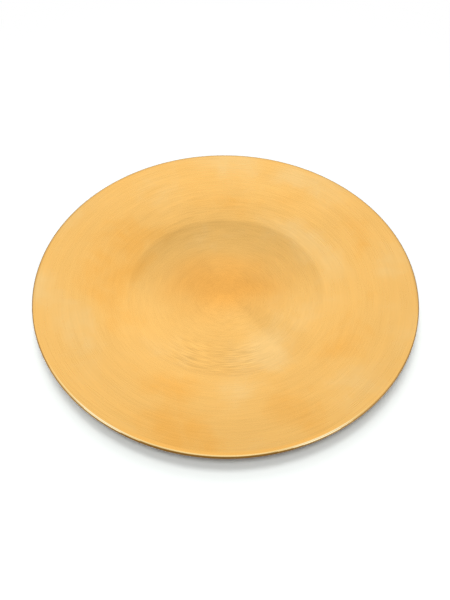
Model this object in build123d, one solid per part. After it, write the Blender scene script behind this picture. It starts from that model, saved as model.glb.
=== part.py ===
from build123d import *

import os
from collections import namedtuple
from math import acos, atan2, copysign, cos, degrees, pi, radians, sin

# Candle plate: a wide turned metal plate with a shallow well, a wired edge and felt pads.
#
# Millimetres, +Z up. The origin is on the plate's axis, on the surface that the pads stand on.
#
# The plate is one spun sheet. From the axis outwards its section runs flat under the candle, coves
# up to the edge of the well, bends over a soft crease, climbs along a slightly arched rim, and ends
# in a curl that is rolled down and round a stiffening wire. Felt pads are stuck under the floor.

# Spun plate: diameters and depths are of the upper face, slopes are degrees above the horizontal
plate_diameter = 330.0
sheet_thickness = 0.7
floor_diameter = 90.0
well_diameter = 175.0
well_depth = 5.8
crease_radius = 7.0
rim_slope_at_well = 10.8
rim_slope_at_edge = 5.4

# Wired edge
wire_diameter = 1.0
wire_clearance = 0.22
curl_gap = 0.05

# Felt pads and the adhesive that holds them
pad_count = 4
pad_diameter = 14.0
felt_thickness = 2.0
adhesive_thickness = 0.2
adhesive_inset = 0.4
pad_to_cove = 1.5
first_pad_direction = 45.0

# Radii and heights that follow
plate_radius = plate_diameter / 2
floor_radius = floor_diameter / 2
well_radius = well_diameter / 2
wire_radius = wire_diameter / 2
pad_radius = pad_diameter / 2
pad_circle_radius = floor_radius - pad_to_cove - pad_radius
floor_underside = felt_thickness + adhesive_thickness
floor_top = floor_underside + sheet_thickness

# The curl wraps the wire until its cut edge is close under the rim
curl_inner_radius = wire_radius + wire_clearance
bead_radius = curl_inner_radius + sheet_thickness
curl_sweep = 360 - degrees(acos((curl_inner_radius - curl_gap) / bead_radius))

# A bend turns the sheet up (positive) or down, by degrees, with a radius on its inner face
Bend = namedtuple("Bend", "turn inner_radius")


def face_radius(bend, upper):
    """The radius of the sheet's upper or lower face round a bend."""
    inner_face = (bend.turn > 0) == upper
    return bend.inner_radius if inner_face else bend.inner_radius + sheet_thickness


def bend_width(bend, slope):
    """How far out the upper face goes round a bend that starts at a slope."""
    reach = copysign(face_radius(bend, upper=True), bend.turn)
    return reach * (sin(radians(slope + bend.turn)) - sin(radians(slope)))


def bend_rise(bend, slope):
    """How far up the upper face goes round a bend that starts at a slope."""
    reach = copysign(face_radius(bend, upper=True), bend.turn)
    return reach * (cos(radians(slope)) - cos(radians(slope + bend.turn)))


def bend_across(width, slope, end_slope):
    """The bend that takes the upper face across a width, from one slope to another."""
    turn = end_slope - slope
    radius = abs(width / (sin(radians(end_slope)) - sin(radians(slope))))
    return Bend(turn, radius if turn > 0 else radius - sheet_thickness)


# The cove leaves the floor level and is at its full slope at the edge of the well
cove_width = well_radius - floor_radius
wall_slope = 2 * degrees(atan2(well_depth, cove_width))
cove = bend_across(cove_width, 0, wall_slope)

# The crease eases the wall of the well over to the rim
crease = Bend(rim_slope_at_well - wall_slope, crease_radius)
crease_width = bend_width(crease, wall_slope)

# The rim arches out to where the curl starts, and the curl just reaches the plate's full radius
rim_width = plate_radius - bead_radius * (1 + sin(radians(rim_slope_at_edge))) - well_radius - crease_width
rim = bend_across(rim_width, rim_slope_at_well, rim_slope_at_edge)
curl = Bend(-curl_sweep, curl_inner_radius)
curl_start_height = (
    floor_top + well_depth + bend_rise(crease, wall_slope) + bend_rise(rim, rim_slope_at_well)
)
bead_centre_radius = plate_radius - bead_radius
bead_centre_height = curl_start_height - bead_radius * cos(radians(rim_slope_at_edge))


def sheet_face(height, upper):
    """One face of the sheet in section: the floor, then each bend, tangent to the last."""
    edges = [Line((0, height), (floor_radius, height))]
    for bend in (cove, crease, rim, curl):
        last = edges[-1]
        edges.append(JernArc(last @ 1, last % 1, face_radius(bend, upper), bend.turn))
    return edges


def make_plate():
    """The spun sheet: its section revolved about the plate's axis."""
    upper = sheet_face(floor_top, upper=True)
    lower = sheet_face(floor_underside, upper=False)
    cut_edge = Line(upper[-1] @ 1, lower[-1] @ 1)
    axis_line = Line((0, floor_underside), (0, floor_top))
    section = Face(Wire(upper + lower + [cut_edge, axis_line]))
    return revolve(Plane.XZ * section, Axis.Z)


def make_rim_wire():
    """The hoop of wire that the sheet's edge is rolled round."""
    section = Pos(bead_centre_radius, bead_centre_height) * Circle(wire_radius)
    return revolve(Plane.XZ * section, Axis.Z)


def pad_place(index):
    """Where a pad is, on the surface that the plate stands on."""
    direction = radians(first_pad_direction) + 2 * pi * index / pad_count
    return Pos(pad_circle_radius * cos(direction), pad_circle_radius * sin(direction))


def disc(radius, thickness, height):
    """A level disc whose underside is at a height."""
    return Pos(0, 0, height + thickness / 2) * Cylinder(radius, thickness)


def make_felt_pad(index):
    """One felt pad, cut from sheet felt."""
    return pad_place(index) * disc(pad_radius, felt_thickness, 0)


def make_adhesive_disc(index):
    """The double-sided film between one felt pad and the plate."""
    return pad_place(index) * disc(pad_radius - adhesive_inset, adhesive_thickness, felt_thickness)


def make_parts():
    """Every piece by its name."""
    parts = {"spun_plate": make_plate(), "rim_wire": make_rim_wire()}
    for index in range(pad_count):
        parts[f"felt_pad_{index + 1}"] = make_felt_pad(index)
        parts[f"adhesive_disc_{index + 1}"] = make_adhesive_disc(index)
    return parts


def main():
    os.makedirs("parts", exist_ok=True)
    for name, part in make_parts().items():
        export_step(part, f"parts/{name}.step")
    print(f"overall height {bead_centre_height + bead_radius:.2f}, wall slope {wall_slope:.1f}")
    print(f"bead centre at radius {bead_centre_radius:.3f}, height {bead_centre_height:.3f}")
    print(f"cove {cove}, crease {crease}, rim {rim}, curl {curl}")


main()
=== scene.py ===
"""The looks of the candle plate: a turned gold plate with felt pads, on a pale floor in soft studio light.

Metres, +Z up, in the frame of the CAD model. The plate is modelled again here along the section of the CAD
sheet (floor, cove, crease, rim and rolled edge), with the turning tool's marks on its upper face. Directions
round the axis are in degrees from +X, and the photograph's camera looks from 270 toward 90.
"""

from collections import namedtuple
from math import acos, atan2, copysign, cos, degrees, exp, pi, radians, sin

import bmesh
import bpy
from mathutils import Matrix, Vector, noise


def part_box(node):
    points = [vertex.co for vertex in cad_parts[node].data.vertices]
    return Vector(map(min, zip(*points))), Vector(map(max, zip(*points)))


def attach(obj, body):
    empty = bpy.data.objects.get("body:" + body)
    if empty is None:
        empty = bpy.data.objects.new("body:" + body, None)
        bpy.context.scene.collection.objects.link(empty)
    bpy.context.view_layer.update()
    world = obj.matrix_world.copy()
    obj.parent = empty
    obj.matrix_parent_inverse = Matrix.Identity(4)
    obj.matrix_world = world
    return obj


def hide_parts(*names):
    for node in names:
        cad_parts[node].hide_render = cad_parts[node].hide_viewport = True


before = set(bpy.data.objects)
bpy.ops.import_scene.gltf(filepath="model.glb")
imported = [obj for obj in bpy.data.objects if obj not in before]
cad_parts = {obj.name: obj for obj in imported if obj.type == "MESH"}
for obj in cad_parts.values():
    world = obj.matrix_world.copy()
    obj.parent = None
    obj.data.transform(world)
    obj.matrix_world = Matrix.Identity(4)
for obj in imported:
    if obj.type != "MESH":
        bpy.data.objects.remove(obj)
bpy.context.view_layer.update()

MM = 0.001
MICRON = 0.001 * MM

# The plate's section, as in the CAD model
plate_low, plate_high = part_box("spun_plate")
plate_radius = (plate_high.x - plate_low.x) / 2
floor_underside = plate_low.z
sheet_thickness = 0.7 * MM
floor_radius = 45 * MM
well_radius = 87.5 * MM
well_depth = 5.8 * MM
crease_inner_radius = 7 * MM
rim_slope_at_well = radians(10.8)
rim_slope_at_edge = radians(5.4)
curl_inner_radius = 0.72 * MM
curl_gap = 0.05 * MM
bead_radius = curl_inner_radius + sheet_thickness

# The turning tool's marks in the mesh: two waves along the radius, highest round the wall of the well
mark_height = 1.2 * MICRON
wall_mark_height = 2.6 * MICRON
wall_mark_radius = 70 * MM
wall_mark_reach = 16 * MM
first_wave_pitch = 2.9 * MM
second_wave_pitch = 4.3 * MM
second_wave_phase = 1.3
marks_fade_in_middle = 10 * MM
marks_fade_at_edge = 6 * MM

# How finely the plate is meshed
plate_segments = 256
upper_step = 0.62 * MM
lower_step = 4 * MM
curl_steps = 36
smooth_below = radians(50)

# The felt pads: how far their cut edge is rounded and worn back, how fine its tufts are, and how finely
# they are meshed
felt_rounding_share = 0.35
felt_wear = 0.36 * MM
felt_tufts_per_metre = 900
felt_tuft_offset = 7.3
felt_face_rings = 14
felt_edge_rings = 6
felt_segments = 64

# How far the gilding goes over the rolled edge: it stops where the face looks up by fewer degrees than a
# limit, which is lower along some stretches of the edge, from one direction to another
GildingReach = namedtuple("GildingReach", "start end limit")
gilding_stops_at = 67
gilding_reaches = [
    GildingReach(212, 229, 62),
    GildingReach(229, 242, 54),
    GildingReach(242, 248, 62),
    GildingReach(284, 288, 62),
    GildingReach(288, 291, 54),
    GildingReach(291, 302, 46),
    GildingReach(302, 306, 54),
    GildingReach(306, 326, 62),
]

# Which way the looks change round the axis: a direction, and how nearly a heading has to be in it, as a
# cosine, for the change to start and to be full
Way = namedtuple("Way", "direction start full")
far_lines_way = Way(90, 0.0, 0.7)
scored_way = Way(263, 0.78, 0.95)
# Painted light along the front of the edge: a brighter band, a pale highlight line and two glints
painted_front_light_way = Way(270, 0.8, 0.95)
painted_highlight_way = Way(262, 0.56, 0.8)
painted_glint_ways = [Way(235, 0.98, 0.999), Way(297, 0.98, 0.999)]
# Painted shade along the back of the edge
painted_shade_way = Way(90, -0.3, 0.1)
# Painted shade on the front of the bead's underside
painted_bead_shade_way = Way(266, 0.8, 0.98)

# Stretches of the radius over which one look goes over to another
Stretch = namedtuple("Stretch", "start end")
middle_ends = Stretch(25 * MM, 45 * MM)
scores_begin = Stretch(48 * MM, 60 * MM)
scores_end = Stretch(80 * MM, 90 * MM)
far_rim_begins = Stretch(80 * MM, 95 * MM)
painted_dimming_ends = Stretch(84 * MM, 88 * MM)

# Bands along the edge: how far in from the full radius each starts and is full (mm), and its strength
EdgeBand = namedtuple("EdgeBand", "start full strength")
# Painted light at the front of the edge: a brighter band and a pale painted highlight line
painted_front_light_band = EdgeBand(6, 3.5, 0.85)
painted_highlight_band = EdgeBand(2.4, 1.7, 1.0)
# Painted shade at the back of the edge, deepest on the bead
painted_shade_band = EdgeBand(3.4, 1.0, 0.45)
darkest_painted_shade_band = EdgeBand(1.5, 1.1, 0.7)
bead_band = EdgeBand(3, 2, 1.0)

# Strokes that the turning tool left: how far apart they are along the radius, how often they change round
# the axis, how much fine detail they have, and how strongly they show
Stroke = namedtuple("Stroke", "pitch turns detail strength")
fine_lines = Stroke(1.5 * MM, 5.0, 0.0, 0.11)
broad_bands = Stroke(6 * MM, 2.2, 1.0, 0.07)
well_scores = Stroke(1.05 * MM, 6.0, 0.0, 0.42)
underside_rings = Stroke(1.6 * MM, 2.0, 2.0, 0.45)

# How much stronger the fine lines are in some places, and how faint the scores are away from the front
lines_at_sides = 0.68
lines_in_front_and_behind = 1.55
lines_in_far_well = 0.7
lines_on_far_rim = 1.25
lines_in_middle = 1.35
scores_elsewhere = 0.12

# The gold's finish: its roughness, how much of it comes from the patina's tone and from the lines, the share
# that is left on the rolled edge, and the relief that the strokes give
gold_roughness = 0.28
roughness_from_tone = 0.02
roughness_from_lines = 0.08
edge_roughness_share = 0.7
broad_band_relief = 0.8
gold_relief_strength = 0.3
gold_relief_height = 0.05 * MM

# The warmer middle of the well: how far its centre is behind the axis, and its reach along X and Y
middle_behind_axis = 12 * MM
middle_reach = (80 * MM, 50 * MM)

# The patina's patches, as the photograph shows them: where each is round the axis, its radius there and how
# far it reaches round and across (mm), whether it is paler (positive) or warmer than the rest, and how much
# brighter or darker it is painted, as painted light and shade
Patch = namedtuple("Patch", "direction radius reach_round reach_across paleness brightness")
patches = [
    Patch(33, 99, 85, 34, 0.65, 0.015),
    Patch(47, 88, 60, 28, 0.4, 0.03),
    Patch(11, 152, 50, 34, 0.6, 0),
    Patch(-61, 67, 41, 34, 1.0, 0.08),
    Patch(90, 160, 64, 30, 0.9, 0),
    Patch(61, 156, 52, 28, 0.7, 0),
    Patch(47, 146, 44, 34, 0.4, 0),
    Patch(182, 160, 42, 32, 0.8, 0),
    Patch(193, 128, 40, 30, 0.45, 0),
    Patch(213, 138, 56, 30, 0.5, 0),
    Patch(-15, 153, 56, 32, 0.4, 0),
    Patch(-44, 148, 56, 38, 0.5, 0),
    Patch(279, 108, 38, 28, 0.5, 0.02),
    Patch(117, 132, 48, 46, 0.4, 0),
    Patch(152, 158, 48, 24, 0.5, 0),
    Patch(106, 68, 56, 30, 0.3, 0),
    Patch(-28, 72, 64, 44, 0.35, 0.035),
    Patch(227, 85, 44, 40, 0.45, 0.015),
    Patch(75, 134, 54, 28, 0.4, 0),
    Patch(147, 112, 50, 36, -0.6, 0),
    Patch(170, 116, 56, 44, -0.5, 0),
    Patch(158, 85, 66, 24, -0.7, -0.025),
    Patch(197, 90, 58, 30, -0.45, 0),
    Patch(121, 88, 38, 20, -0.35, -0.015),
    Patch(243, 110, 58, 30, -0.6, 0),
    Patch(257, 150, 62, 38, -0.9, 0),
    Patch(-65, 140, 34, 64, -0.6, -0.02),
    Patch(-36, 103, 42, 38, -0.55, 0),
    Patch(-22, 124, 46, 30, -0.35, 0),
    Patch(63, 120, 62, 34, -0.45, 0.04),
    Patch(93, 104, 48, 28, -0.4, 0),
    Patch(30, 127, 50, 30, -0.5, 0),
    Patch(0, 134, 28, 28, -0.25, 0),
    Patch(92, 140, 250, 90, 0, 0.11),
    Patch(215, 76, 80, 56, 0, 0.075),
    Patch(-20, 152, 170, 50, 0, -0.04),
    Patch(-82, 73, 34, 24, 0, -0.03),
    Patch(264, 92, 90, 38, 0, 0.06),
    Patch(276, 158, 210, 50, 0, -0.055),
]

# The patina's clouds: how fine the small ones are and how strong, and the slow noise that moves the patches'
# edges about
clouds_per_metre = 36
cloud_strength = 1.4
drifts_per_metre = 24
drift_reach = 36 * MM

# How the well's painted sheen fans out from a point near its middle: the way of each sector, half its
# angle, the radii between which it shows (mm), and how much brighter it is painted, as painted highlight,
# or darker, as painted shade
Sector = namedtuple("Sector", "direction half_angle inner outer brightness")
fan_centre_behind_axis = 8 * MM
sector_core_share = 0.4
sector_fade_in = 16
sector_fade_out = 30
painted_sheen_sectors = [
    Sector(-95, 44, 0, 72, 0.075),
    Sector(-45, 13, 14, 104, -0.05),
    Sector(84, 40, 2, 58, 0.055),
    Sector(0, 46, 2, 58, -0.03),
    Sector(176, 40, 2, 58, -0.03),
]

# How painted shade darkens the well from front to back
painted_dimming_grows = Stretch(-40 * MM, 50 * MM)
full_painted_dimming = -0.095

# The floor: its half width and mesh, how far it is under the pads, and the radii between which it goes over
# to plain white
floor_half_width = 4
floor_squares = 8
floor_below_pads = 0.05 * MM
white_starts = 0.22
white_ends = 0.5

# What the metal mirrors, from the far horizon (0 degrees) over the plate to the near one (180)
mirrored_levels = [
    (4, 0.3), (14, 0.75), (24, 1.09), (58, 1.09), (70, 0.94), (80, 0.8), (92, 0.8),
    (100, 1.3), (134, 1.25), (154, 0.95), (168, 0.75), (177, 0.35),
]

# What falls on plain surfaces, where 1 is white: the room's even light, and softboxes that shape the shadow,
# each with its place, its width and depth, and the share of white that it adds
room_level = 0.27
Softbox = namedtuple("Softbox", "name place width depth share")
softboxes = [
    Softbox("overhead_softbox", (-0.14, -0.03, 2.7), 1.0, 0.7, 0.24),
    Softbox("key_softbox", (-0.14, -1.2, 2.6), 0.6, 0.7, 0.22),
    Softbox("back_softbox", (-0.14, 1.5, 2.4), 1.0, 1.6, 0.08),
]

# The camera, as the photograph's outline and well give it
photo_width, photo_height = 450, 600
camera_elevation = radians(51.8)
camera_roll = radians(-0.65)
camera_distance = 687 * MM
focal_length_in_pixels = 797
rim_centre_right_of_view = 0.45 * MM
rim_centre_above_view = 13.1 * MM
sensor_long_side = 36
nearest_seen = 0.01
farthest_seen = 50


# The plate's section

def bend_points(start, slope, turn, radius, steps):
    """Points round an arc that starts at a slope and turns up (positive) or down, without its start."""
    side = copysign(radius, turn)
    centre_r = start[0] - side * sin(slope)
    centre_z = start[1] + side * cos(slope)
    slopes = [slope + turn * step / steps for step in range(1, steps + 1)]
    return [(centre_r + side * sin(a), centre_z - side * cos(a)) for a in slopes]


def section_bends():
    """The sheet's bends from the floor outwards: the turn, and the radius of the upper face."""
    cove_width = well_radius - floor_radius
    wall_slope = 2 * atan2(well_depth, cove_width)
    cove_radius = cove_width / sin(wall_slope)
    crease_radius = crease_inner_radius + sheet_thickness
    crease_width = crease_radius * (sin(wall_slope) - sin(rim_slope_at_well))
    rim_width = plate_radius - bead_radius * (1 + sin(rim_slope_at_edge)) - well_radius - crease_width
    rim_radius = rim_width / (sin(rim_slope_at_well) - sin(rim_slope_at_edge))
    curl_sweep = 2 * pi - acos((curl_inner_radius - curl_gap) / bead_radius)
    return [
        (wall_slope, cove_radius),
        (rim_slope_at_well - wall_slope, crease_radius),
        (rim_slope_at_edge - rim_slope_at_well, rim_radius),
        (-curl_sweep, bead_radius),
    ]


def sheet_face(height, upper, step):
    """One face of the sheet from the axis outwards, as (radius, height) points."""
    floor_steps = max(2, round(floor_radius / step))
    points = [(floor_radius * i / floor_steps, height) for i in range(floor_steps + 1)]
    slope = 0
    bends = section_bends()
    for turn, upper_radius in bends:
        radius = upper_radius if upper else upper_radius + copysign(sheet_thickness, turn)
        is_curl = (turn, upper_radius) == bends[-1]
        steps = curl_steps if is_curl else max(3, round(abs(turn) * radius / step))
        points += bend_points(points[-1], slope, turn, radius, steps)
        slope += turn
    return points


def turning_mark(radius):
    """How far the turning tool's marks lift the upper face at a radius."""
    on_wall = exp(-(((radius - wall_mark_radius) / wall_mark_reach) ** 2))
    height = mark_height + wall_mark_height * on_wall
    first_wave = sin(2 * pi * radius / first_wave_pitch)
    second_wave = sin(2 * pi * radius / second_wave_pitch + second_wave_phase)
    from_edge = max(0, plate_radius - radius)
    fade = min(1, radius / marks_fade_in_middle) * min(1, from_edge / marks_fade_at_edge)
    return height * (first_wave + second_wave) * fade


def plate_section():
    """The sheet's whole outline in section: out along the upper face and the curl, and back underneath."""
    upper = sheet_face(floor_underside + sheet_thickness, True, upper_step)
    curl_start = len(upper) - curl_steps
    marked = [(r, z + turning_mark(r)) for r, z in upper[:curl_start]]
    lower = sheet_face(floor_underside, False, lower_step)
    return marked + upper[curl_start:] + lower[::-1]


def lathe(name, section, segments):
    """A closed mesh turned about the Z axis from a section that starts and ends on the axis."""
    mesh = bmesh.new()
    turns = [2 * pi * i / segments for i in range(segments)]
    rings = []
    for radius, height in section:
        if radius == 0:
            rings.append([mesh.verts.new((0, 0, height))])
        else:
            rings.append([mesh.verts.new((radius * cos(a), radius * sin(a), height)) for a in turns])
    for inner, outer in zip(rings, rings[1:]):
        for i in range(segments):
            j = (i + 1) % segments
            inner_pair = inner[i % len(inner)], inner[j % len(inner)]
            outer_pair = outer[i % len(outer)], outer[j % len(outer)]
            corners = [inner_pair[0], outer_pair[0], outer_pair[1], inner_pair[1]]
            mesh.faces.new(list(dict.fromkeys(corners)))
    bmesh.ops.recalc_face_normals(mesh, faces=mesh.faces)
    return finish_mesh(name, mesh)


def finish_mesh(name, mesh):
    """A new smooth-shaded object from a bmesh, with its sharp edges kept."""
    data = bpy.data.meshes.new(name)
    mesh.to_mesh(data)
    mesh.free()
    data.shade_smooth()
    data.set_sharp_from_angle(angle=smooth_below)
    piece = bpy.data.objects.new(name, data)
    bpy.context.scene.collection.objects.link(piece)
    return piece


# Nodes

class Graph:
    """The node tree of one material or world, with short ways to add and join nodes."""

    def __init__(self, owner):
        owner.use_nodes = True
        self.tree = owner.node_tree
        self.tree.nodes.clear()

    def add(self, kind, inputs=(), **settings):
        """A new node. inputs pairs each socket's name or number with a value or another node's output."""
        node = self.tree.nodes.new("ShaderNode" + kind)
        for name, value in settings.items():
            setattr(node, name, value)
        for socket, value in dict(inputs).items():
            if isinstance(value, bpy.types.NodeSocket):
                self.tree.links.new(value, node.inputs[socket])
            else:
                node.inputs[socket].default_value = value
        return node

    def math(self, operation, *values, clamp=False):
        return self.add("Math", enumerate(values), operation=operation, use_clamp=clamp).outputs[0]

    def vector(self, operation, *values, **named):
        node = self.add("VectorMath", {**dict(enumerate(values)), **named}, operation=operation)
        return node.outputs["Value" if operation in ("LENGTH", "DOT_PRODUCT") else "Vector"]

    def range(self, value, low, high, to_low=0.0, to_high=1.0):
        """A value carried from one range to another, smoothly, and held at the ends."""
        inputs = {"Value": value, "From Min": low, "From Max": high, "To Min": to_low, "To Max": to_high}
        return self.add("MapRange", inputs, interpolation_type="SMOOTHSTEP").outputs["Result"]

    def mix(self, factor, first, second, blend="MIX"):
        """One colour or another, by a factor, or two colours put together in another way."""
        inputs = {"Factor": factor, 6: first, 7: second}
        return self.add("Mix", inputs, data_type="RGBA", blend_type=blend).outputs[2]

    def blend(self, factor, first, second):
        """One number or another, by a factor."""
        return self.add("Mix", {0: factor, 2: first, 3: second}, data_type="FLOAT").outputs[0]

    def noise(self, vector, scale, detail=2.0, roughness=0.5, distortion=0.0):
        inputs = {
            "Vector": vector,
            "Scale": scale,
            "Detail": detail,
            "Roughness": roughness,
            "Distortion": distortion,
        }
        return self.add("TexNoise", inputs).outputs["Fac"]

    def place(self):
        """Where a point is, in the object's own frame."""
        return self.add("TexCoord").outputs["Object"]

    def bump(self, strength, distance, height):
        inputs = {"Strength": strength, "Distance": distance, "Height": height}
        return self.add("Bump", inputs).outputs["Normal"]

    def principled(self, inputs):
        return self.add("BsdfPrincipled", inputs).outputs[0]

    def output(self, shader, kind="OutputMaterial"):
        self.add(kind, {"Surface": shader})


def colour(red, green, blue):
    return (red, green, blue, 1)


def round_axis(g, place, centre=(0, 0, 0)):
    """A place's radius about the plate's axis, or another upright line, and its heading as a unit vector."""
    level = g.vector("MULTIPLY", g.vector("SUBTRACT", place, centre), (1, 1, 0))
    return g.vector("LENGTH", level), g.vector("NORMALIZE", level)


def toward(g, heading, direction):
    """How nearly a heading is in a direction, given in degrees: 1 along it, -1 against it."""
    way = (cos(radians(direction)), sin(radians(direction)), 0)
    return g.vector("DOT_PRODUCT", heading, way)


def facing(g, heading, way, elsewhere=0.0):
    """How fully a heading is in a way: 1 along it, and another value away from it."""
    return g.range(toward(g, heading, way.direction), way.start, way.full, elsewhere, 1.0)


def along_edge(g, radius, band):
    """How strong a band along the edge is at a radius."""
    return g.range(radius, plate_radius - band.start * MM, plate_radius - band.full * MM, 0.0, band.strength)


def strokes(g, radius, heading, stroke):
    """Noise about 0, drawn out round the axis."""
    along = g.vector("SCALE", heading, Scale=stroke.turns)
    across = g.add("CombineXYZ", {"Z": g.math("DIVIDE", radius, stroke.pitch)}).outputs[0]
    return g.math("SUBTRACT", g.noise(g.vector("ADD", along, across), 1, stroke.detail), 0.5)


def ellipse(g, place, centre, reach, turn=0.0):
    """How far a place is from a centre, where 1 is an ellipse with the given reach."""
    inputs = {"Vector": place, "Location": centre, "Rotation": (0, 0, turn), "Scale": (*reach, 1)}
    return g.vector("LENGTH", g.add("Mapping", inputs, vector_type="TEXTURE").outputs[0])


# Gold

def turning_lines(g, radius, heading):
    """The fine lines: strongest in front, behind and in the middle, and weaker in the well's far part."""
    lines = strokes(g, radius, heading, fine_lines)
    along_view = g.math("ABSOLUTE", toward(g, heading, far_lines_way.direction))
    by_side = g.range(along_view, 0.1, 0.95, lines_at_sides, lines_in_front_and_behind)
    far_strength = g.range(radius, *far_rim_begins, lines_in_far_well, lines_on_far_rim)
    by_half = g.blend(facing(g, heading, far_lines_way), 1.0, far_strength)
    by_radius = g.range(radius, *middle_ends, lines_in_middle, 1.0)
    for strength in (by_side, by_half, by_radius):
        lines = g.math("MULTIPLY", lines, strength)
    return lines


def score_marks(g, radius, heading):
    """The scores round the wall of the well, deepest in front."""
    scores = strokes(g, radius, heading, well_scores)
    past_floor = g.range(radius, *scores_begin)
    before_rim = g.range(radius, *scores_end, 1.0, 0.0)
    in_front = facing(g, heading, scored_way, scores_elsewhere)
    for strength in (past_floor, before_rim, in_front):
        scores = g.math("MULTIPLY", scores, strength)
    return scores


def drifted(g, place):
    """A place moved about by slow noise, so that what is drawn there gets cloudy edges."""
    drift = g.add("TexNoise", {"Vector": place, "Scale": drifts_per_metre, "Detail": 1.0}).outputs["Color"]
    about_zero = g.vector("SUBTRACT", drift, (0.5, 0.5, 0.5))
    return g.vector("ADD", place, g.vector("SCALE", about_zero, Scale=drift_reach))


def patina(g, place, cloudy_place):
    """How pale (1) or warm (-1) the patina is, over small clouds, and how much brighter or darker the
    patches paint it, as painted light and shade."""
    clouds = g.noise(place, clouds_per_metre, detail=4.0, roughness=0.6, distortion=0.4)
    tone = g.math("MULTIPLY", g.math("SUBTRACT", clouds, 0.5), cloud_strength)
    brightness = 0.0
    for patch in patches:
        turn = radians(patch.direction)
        centre = Vector((cos(turn), sin(turn), 0)) * patch.radius * MM
        reach = (patch.reach_across * MM, patch.reach_round * MM)
        strength = g.range(ellipse(g, cloudy_place, centre, reach, turn), 0.0, 1.0, 1.0, 0.0)
        tone = g.math("MULTIPLY_ADD", strength, patch.paleness, tone)
        brightness = g.math("MULTIPLY_ADD", strength, patch.brightness, brightness)
    return tone, brightness


def painted_well_sheen(g, place, cloudy_place, radius):
    """How much brighter the well is painted than the rim: darker toward the back by painted shade, with
    sectors of painted highlight and shade that fan out.
    """
    depth = g.add("SeparateXYZ", {0: cloudy_place}).outputs["Y"]
    painted_dimming = g.range(depth, *painted_dimming_grows, 0.0, full_painted_dimming)
    sheen = g.math("MULTIPLY", painted_dimming, g.range(radius, *painted_dimming_ends, 1.0, 0.0))
    fan_radius, fan_heading = round_axis(g, place, (0, fan_centre_behind_axis, 0))
    # Sectors of painted highlight and painted shade
    for sector in painted_sheen_sectors:
        side = cos(radians(sector.half_angle))
        core = cos(radians(sector.half_angle * sector_core_share))
        strength = g.range(toward(g, fan_heading, sector.direction), side, core, 0.0, sector.brightness)
        full_from = sector.inner + sector_fade_in
        full_to = sector.outer - sector_fade_out
        past_inner = g.range(fan_radius, sector.inner * MM, full_from * MM)
        before_outer = g.range(fan_radius, full_to * MM, sector.outer * MM, 1.0, 0.0)
        strength = g.math("MULTIPLY", g.math("MULTIPLY", strength, past_inner), before_outer)
        sheen = g.math("ADD", sheen, strength)
    return sheen


def patina_tint(g, cloudy_place, tone):
    """The gold's colour: warmer or paler by the patina's tone, and orange in the middle of the well."""
    warm_gold = colour(0.87, 0.45, 0.1)
    gold = colour(0.88, 0.51, 0.147)
    pale_gold = colour(0.87, 0.56, 0.207)
    orange_gold = colour(0.91, 0.446, 0.094)
    tint = g.mix(g.range(tone, -1.0, 0.0), warm_gold, gold)
    tint = g.mix(g.range(tone, 0.0, 1.0), tint, pale_gold)
    from_middle = ellipse(g, cloudy_place, (0, middle_behind_axis, 0), middle_reach)
    return g.mix(g.range(from_middle, 0.1, 1.0, 0.95, 0.0), tint, orange_gold)


def edge_tint(g, radius, heading, tint):
    """The gold's colour at its edge: painted highlights and glints in front, and painted shade behind."""
    painted_front_light_gold = colour(0.98, 0.525, 0.13)
    painted_highlight_gold = colour(0.97, 0.71, 0.31)
    painted_glint_gold = colour(1.0, 0.83, 0.49)
    # Painted shade for the back of the edge
    painted_shade_gold = colour(0.45, 0.24, 0.07)
    # Painted glints, where lamps would catch the bead
    painted_glint = 0.0
    for way in painted_glint_ways:
        painted_glint = g.math("MAXIMUM", painted_glint, facing(g, heading, way))
    layers = [
        (painted_front_light_way, painted_front_light_band, painted_front_light_gold),
        (painted_highlight_way, painted_highlight_band, g.mix(painted_glint, painted_highlight_gold, painted_glint_gold)),
        (painted_shade_way, painted_shade_band, painted_shade_gold),
        (painted_shade_way, darkest_painted_shade_band, painted_shade_gold),
    ]
    for way, band, layer in layers:
        strength = g.math("MULTIPLY", facing(g, heading, way), along_edge(g, radius, band))
        tint = g.mix(strength, tint, layer)
    return tint


def gold_material():
    """Turned gold: concentric lines, a cloudy patina, a warmer middle and a smoother rolled edge. Painted
    light and shade lie on the patches, in the well and along the edge.
    """
    material = bpy.data.materials.new("turned_gold")
    g = Graph(material)
    place = g.place()
    cloudy_place = drifted(g, place)
    radius, heading = round_axis(g, place)
    lines = turning_lines(g, radius, heading)
    bands = strokes(g, radius, heading, broad_bands)
    scores = score_marks(g, radius, heading)
    tone, brightness = patina(g, place, cloudy_place)

    tint = edge_tint(g, radius, heading, patina_tint(g, cloudy_place, tone))
    # The patches' and the well's painted light and shade, then the marks
    shade = g.math("ADD", brightness, painted_well_sheen(g, place, cloudy_place, radius))
    for marks, stroke in ((lines, fine_lines), (bands, broad_bands), (scores, well_scores)):
        shade = g.math("MULTIPLY_ADD", marks, stroke.strength, shade)
    shade = g.math("ADD", 1.0, shade)
    grey = g.add("CombineColor", {0: shade, 1: shade, 2: shade}).outputs[0]

    rough = g.math("MULTIPLY_ADD", tone, roughness_from_tone, gold_roughness)
    rough = g.math("MULTIPLY_ADD", lines, roughness_from_lines, rough)
    smoothing = g.blend(along_edge(g, radius, bead_band), 1.0, edge_roughness_share)

    relief = g.math("ADD", g.math("MULTIPLY_ADD", bands, broad_band_relief, lines), scores)
    g.output(g.principled({
        "Base Color": g.mix(1.0, tint, grey, "MULTIPLY"),
        "Metallic": 1.0,
        "Roughness": g.math("MULTIPLY", rough, smoothing),
        "Anisotropic": 0.7,
        "Anisotropic Rotation": 0.25,
        "Normal": g.bump(gold_relief_strength, gold_relief_height, relief),
        "Tangent": g.add("Tangent", direction_type="RADIAL", axis="Z").outputs["Tangent"],
    }))
    return material


# Other materials

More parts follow.
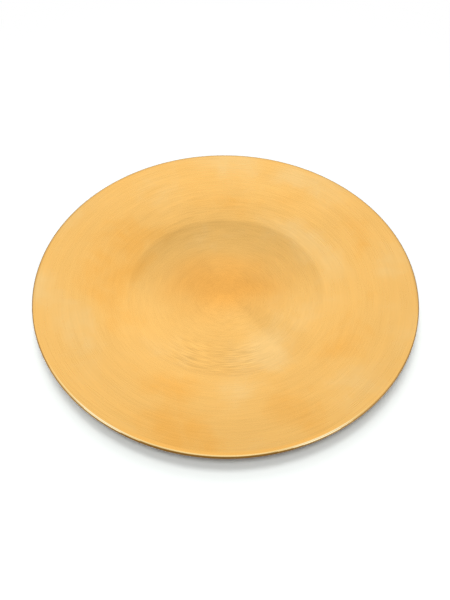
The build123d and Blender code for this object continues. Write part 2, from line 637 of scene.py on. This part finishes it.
def underside_material():
    """The plate's back: uneven brown lacquer over the turned metal, and dark gold under the rolled edge,
    darker in front by painted shade.
    """
    dark_brown = colour(0.10, 0.045, 0.013)
    light_brown = colour(0.16, 0.075, 0.022)
    worn_brown = colour(0.22, 0.115, 0.04)
    dark_gold = colour(0.43, 0.235, 0.065)
    painted_bead_shade_gold = colour(0.25, 0.12, 0.022)
    material = bpy.data.materials.new("brown_underside")
    g = Graph(material)
    place = g.place()
    radius, heading = round_axis(g, place)
    rings = strokes(g, radius, heading, underside_rings)
    stains = g.noise(place, scale=22, detail=4.0, roughness=0.55, distortion=0.5)
    tint = g.mix(g.range(stains, 0.36, 0.64), dark_brown, light_brown)
    tint = g.mix(g.range(rings, -0.2, 0.2, 0.0, underside_rings.strength), tint, worn_brown)
    on_bead = along_edge(g, radius, bead_band)
    # Painted shade darkens the bead in front
    in_front = facing(g, heading, painted_bead_shade_way)
    tint = g.mix(on_bead, tint, g.mix(in_front, dark_gold, painted_bead_shade_gold))
    g.output(g.principled({
        "Base Color": tint,
        "Metallic": on_bead,
        "Roughness": g.math("MULTIPLY_ADD", stains, 0.16, 0.36),
        "Specular IOR Level": 0.15,
        "Normal": g.bump(strength=0.5, distance=0.06 * MM, height=rings),
    }))
    return material


def steel_material():
    """Drawn steel wire, with fine marks and a little darkening."""
    bright_steel = colour(0.56, 0.55, 0.54)
    dark_steel = colour(0.40, 0.38, 0.36)
    material = bpy.data.materials.new("drawn_steel")
    g = Graph(material)
    place = g.place()
    marks = g.noise(place, scale=900, detail=3.0, roughness=0.6)
    stains = g.noise(place, scale=40)
    g.output(g.principled({
        "Base Color": g.mix(g.range(stains, 0.4, 0.65), bright_steel, dark_steel),
        "Metallic": 1.0,
        "Roughness": g.range(marks, 0.3, 0.7, 0.28, 0.46),
        "Normal": g.bump(strength=0.3, distance=0.02 * MM, height=marks),
    }))
    return material


def felt_material():
    """Black pressed felt, with matted fibres and pale flecks of lint."""
    black = colour(0.018, 0.017, 0.016)
    grey = colour(0.07, 0.066, 0.06)
    lint = colour(0.12, 0.115, 0.105)
    material = bpy.data.materials.new("black_felt")
    g = Graph(material)
    place = g.place()
    fibres = g.noise(place, scale=1500, detail=4.0, roughness=0.7, distortion=1.5)
    matting = g.noise(place, scale=260, detail=3.0, roughness=0.6, distortion=0.8)
    tint = g.mix(g.range(fibres, 0.35, 0.7), black, grey)
    g.output(g.principled({
        "Base Color": g.mix(g.range(matting, 0.62, 0.75, 0.0, 0.5), tint, lint),
        "Roughness": 0.95,
        "Sheen Weight": 0.35,
        "Sheen Roughness": 0.5,
        "Normal": g.bump(strength=0.8, distance=0.25 * MM, height=g.math("ADD", fibres, matting)),
    }))
    return material


def adhesive_material():
    """Cream double-sided film, a little cloudy, with a satin face."""
    dark_cream = colour(0.74, 0.70, 0.60)
    light_cream = colour(0.82, 0.79, 0.71)
    material = bpy.data.materials.new("adhesive_film")
    g = Graph(material)
    haze = g.noise(g.place(), scale=320, detail=3.0, roughness=0.6)
    g.output(g.principled({
        "Base Color": g.mix(g.range(haze, 0.35, 0.65), dark_cream, light_cream),
        "Roughness": g.range(haze, 0.3, 0.7, 0.35, 0.55),
        "Normal": g.bump(strength=0.3, distance=0.03 * MM, height=haze),
    }))
    return material


def floor_material():
    """A pale matt floor, which keeps the plate's shadow. To the eye and in reflections it is bright enough
    to read white, and goes over to plain white away from the plate. From below it isn't there."""
    pale_grey = colour(0.8, 0.8, 0.8)
    seen_white = colour(1.37, 1.43, 1.41)
    material = bpy.data.materials.new("pale_floor")
    g = Graph(material)
    path = g.add("LightPath")
    seen = g.math("ADD", path.outputs["Is Camera Ray"], path.outputs["Is Glossy Ray"], clamp=True)
    seen = g.math("ADD", seen, path.outputs["Is Transmission Ray"], clamp=True)
    matt = g.add("BsdfDiffuse", {"Color": g.mix(seen, pale_grey, seen_white)}).outputs[0]
    white = g.add("Emission", {"Color": colour(1, 1, 1), "Strength": 1.0}).outputs[0]
    away = g.math("MULTIPLY", g.range(g.vector("LENGTH", g.place()), white_starts, white_ends), seen)
    above = g.add("MixShader", {0: away, 1: matt, 2: white}).outputs[0]
    below = g.add("BsdfTransparent").outputs[0]
    from_below = g.add("NewGeometry").outputs["Backfacing"]
    g.output(g.add("MixShader", {0: from_below, 1: above, 2: below}).outputs[0])
    return material


# Pieces of the object

def gilding_limit(place):
    """How far up a face must look to be gilded, by where it is along the rolled edge."""
    direction = degrees(atan2(place.y, place.x)) % 360
    for reach in gilding_reaches:
        if reach.start <= direction < reach.end:
            return radians(reach.limit)
    return radians(gilding_stops_at)


def make_plate():
    """The spun plate with its turning marks: gold above, and brown wherever the gilding doesn't reach."""
    plate = lathe("turned_plate", plate_section(), plate_segments)
    plate.data.materials.append(gold_material())
    plate.data.materials.append(underside_material())
    for face in plate.data.polygons:
        if face.normal.z < sin(gilding_limit(face.center)):
            face.material_index = 1
    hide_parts("spun_plate")
    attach(plate, "root")


def felt_section(radius, thickness):
    """A pad's outline in section about its middle: down over the rounded upper edge, and back underneath."""
    rounding = felt_rounding_share * thickness
    half = thickness / 2
    flat = [((radius - rounding) * i / felt_face_rings, half) for i in range(felt_face_rings + 1)]
    turns = [pi / 2 * i / felt_edge_rings for i in range(1, felt_edge_rings + 1)]
    rounded = [(radius - rounding * (1 - sin(a)), half - rounding * (1 - cos(a))) for a in turns]
    upper = flat + rounded
    return upper + [(r, -z) for r, z in upper[::-1]]


def make_felt_pad(index, material):
    """One felt pad: a cut disc whose edge is rounded over and unevenly worn."""
    node = f"felt_pad_{index}"
    low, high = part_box(node)
    centre = (low + high) / 2
    radius = (high.x - low.x) / 2
    pad = lathe(f"felt_{index}", felt_section(radius, high.z - low.z), felt_segments)
    for vertex in pad.data.vertices:
        tuft = noise.noise(vertex.co * felt_tufts_per_metre + Vector((index * felt_tuft_offset, 0, 0)))
        share_out = vertex.co.xy.length / radius
        vertex.co.xy *= 1 - felt_wear * (0.5 + 0.5 * tuft) * share_out / radius
        vertex.co += centre
    pad.data.materials.append(material)
    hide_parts(node)
    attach(pad, "root")


def dress_node(name, material):
    """Gives a CAD node that stays in view its procedural material."""
    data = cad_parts[name].data
    data.materials.clear()
    data.materials.append(material)


# Stage, light and camera

def make_floor():
    """A wide level floor, a hair under the pads."""
    mesh = bmesh.new()
    bmesh.ops.create_grid(mesh, x_segments=floor_squares, y_segments=floor_squares, size=floor_half_width)
    floor = finish_mesh("floor", mesh)
    floor.location.z = -floor_below_pads
    floor.data.materials.append(floor_material())


def make_world():
    """Studio surroundings. The metal mirrors a wide glow behind the plate, a dimmer ceiling, a brighter glow
    over the camera and darker horizons. Plain surfaces get an even, low light, and the eye sees white."""
    world = bpy.data.worlds.new("studio")
    bpy.context.scene.world = world
    g = Graph(world)
    way = g.add("SeparateXYZ", {0: g.add("TexCoord").outputs["Generated"]})
    over = g.math("ARCTAN2", way.outputs["Z"], way.outputs["Y"])
    ramp = g.add("ValToRGB", {"Fac": g.math("DIVIDE", over, pi)})
    elements = ramp.color_ramp.elements
    while len(elements) < len(mirrored_levels):
        elements.new(0.5)
    for element, (angle, level) in zip(elements, mirrored_levels):
        element.position = angle / 180
        element.color = colour(level, level, level)
    path = g.add("LightPath")
    in_mirror = g.math("ADD", path.outputs["Is Glossy Ray"], path.outputs["Is Transmission Ray"], clamp=True)
    level = g.blend(in_mirror, room_level, ramp.outputs["Color"])
    level = g.blend(path.outputs["Is Camera Ray"], level, 1.0)
    shader = g.add("Background", {"Color": colour(1, 1, 1), "Strength": level})
    g.output(shader.outputs[0], "OutputWorld")


def make_softbox(box):
    """A level rectangular lamp that lights a white floor at the origin by its share of white. Neither the
    camera nor the metal sees it."""
    distance = Vector(box.place).length
    slant = box.place[2] / distance
    lamp = bpy.data.lights.new(box.name, "AREA")
    lamp.shape = "RECTANGLE"
    lamp.size = box.width
    lamp.size_y = box.depth
    lamp.energy = box.share * pi * pi * distance**2 / slant**2
    holder = bpy.data.objects.new(box.name, lamp)
    holder.location = box.place
    holder.visible_camera = False
    holder.visible_glossy = False
    bpy.context.scene.collection.objects.link(holder)


def make_camera():
    """The photograph's camera, which looks down from the front, a little below the rim's centre."""
    ahead = Vector((0, cos(camera_elevation), -sin(camera_elevation)))
    right = Vector((1, 0, 0))
    up = Vector((0, sin(camera_elevation), cos(camera_elevation)))
    rim_centre = Vector((0, 0, plate_high.z - bead_radius))
    place = rim_centre - ahead * camera_distance
    place -= right * rim_centre_right_of_view + up * rim_centre_above_view
    across = right * cos(camera_roll) - up * sin(camera_roll)
    upright = right * sin(camera_roll) + up * cos(camera_roll)
    turn = Matrix((across, upright, -ahead)).transposed().to_4x4()
    data = bpy.data.cameras.new("camera")
    data.sensor_width = sensor_long_side
    data.lens = sensor_long_side * focal_length_in_pixels / max(photo_width, photo_height)
    data.clip_start = nearest_seen
    data.clip_end = farthest_seen
    camera = bpy.data.objects.new("camera", data)
    camera.matrix_world = Matrix.Translation(place) @ turn
    bpy.context.scene.collection.objects.link(camera)
    bpy.context.scene.camera = camera


make_plate()
felt = felt_material()
film = adhesive_material()
pad_count = sum(name.startswith("felt_pad_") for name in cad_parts)
for index in range(1, pad_count + 1):
    make_felt_pad(index, felt)
    dress_node(f"adhesive_disc_{index}", film)
dress_node("rim_wire", steel_material())
make_floor()
make_world()
for box in softboxes:
    make_softbox(box)
make_camera()
bpy.context.scene.view_settings.view_transform = "Standard"
